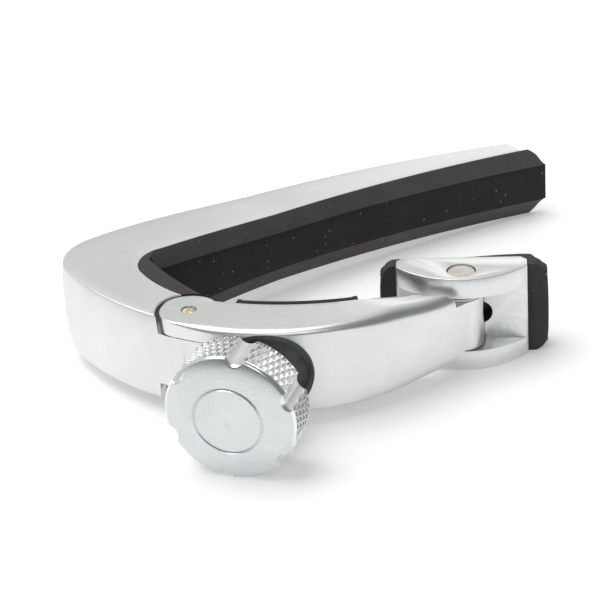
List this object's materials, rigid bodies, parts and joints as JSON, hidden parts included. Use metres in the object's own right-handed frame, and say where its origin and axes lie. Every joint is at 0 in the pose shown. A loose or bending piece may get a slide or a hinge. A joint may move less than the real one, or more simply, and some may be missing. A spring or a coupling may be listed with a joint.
{
  "type": "guitar capo",
  "caption": "Screw-set guitar capo: J-shaped satin body with a rubber-faced arm, hinged curved lever, swivelling padded foot and fluted knurled knob.",
  "frame": {"origin": "On the lower side face of the body, at the centre of the J's outer bend.", "axes": "+X along the upper arm from the bend to its tip, +Z across the width, +Y from the lever toward the upper arm. The part is drawn lying on its side."},
  "size_m": [0.0804, 0.0555, 0.0183],
  "materials": {
    "satin_aluminium": "fine bead-blasted satin aluminium",
    "knob_aluminium": "satin turned aluminium with a bright knurl",
    "black_rubber": "matt moulded charcoal rubber",
    "black_plastic": "matt black moulded plastic",
    "white_plastic": "plain white plastic",
    "bush_plastic": "dark plain bearing plastic",
    "foot_pin_metal": "warm-toned ground pin end",
    "steel": "plain steel",
    "brass": "turned brass"
  },
  "bodies": {
    "body": {"body_frame": "satin_aluminium", "string_pad": "black_rubber", "screw_insert": "brass", "drag_plug": "white_plastic", "hinge_pin": "steel", "drag_ring": "black_plastic"},
    "feed": {"thrust_washer": "black_plastic", "wave_washer": "steel"},
    "knob": {"knob": "knob_aluminium", "knob_screw": "steel", "knob_key": "steel"},
    "lever": {"lever": "satin_aluminium", "lever_liner": "black_rubber", "hinge_bushes": "steel", "pocket_seat": "black_plastic", "foot_bush": "bush_plastic"},
    "foot": {"foot_clevis": "satin_aluminium", "foot_pin": "foot_pin_metal", "foot_washers": "white_plastic", "foot_pad": "black_rubber"}
  },
  "joints": [
    {"name": "knob_turn", "type": "hinge", "parent": "feed", "child": "knob", "pos_m": [-0.00312, -0.04007, 0.00645], "axis": [0.7314, 0.682, 0], "range_deg": [-330, 660]},
    {"name": "knob_feed", "type": "slide", "parent": "body", "child": "feed", "axis": [0.7314, 0.682, 0], "range_m": [-0.00075, 0.0015]},
    {"name": "lever_hinge", "type": "hinge", "parent": "body", "child": "lever", "pos_m": [0.0016, -0.02035, 0.00645], "axis": [0, 0, 1], "range_deg": [-4, 8]},
    {"name": "foot_swivel", "type": "hinge", "parent": "lever", "child": "foot", "pos_m": [0.0374, -0.033, 0.00645], "axis": [0, 0, 1], "range_deg": [-12, 25]}
  ],
  "couplings": [
    {"joint": "knob_feed", "follows": "knob_turn", "m_per_rad": 0.00012732},
    {"joint": "lever_hinge", "follows": "knob_turn", "ratio": 0.011368}
  ]
}
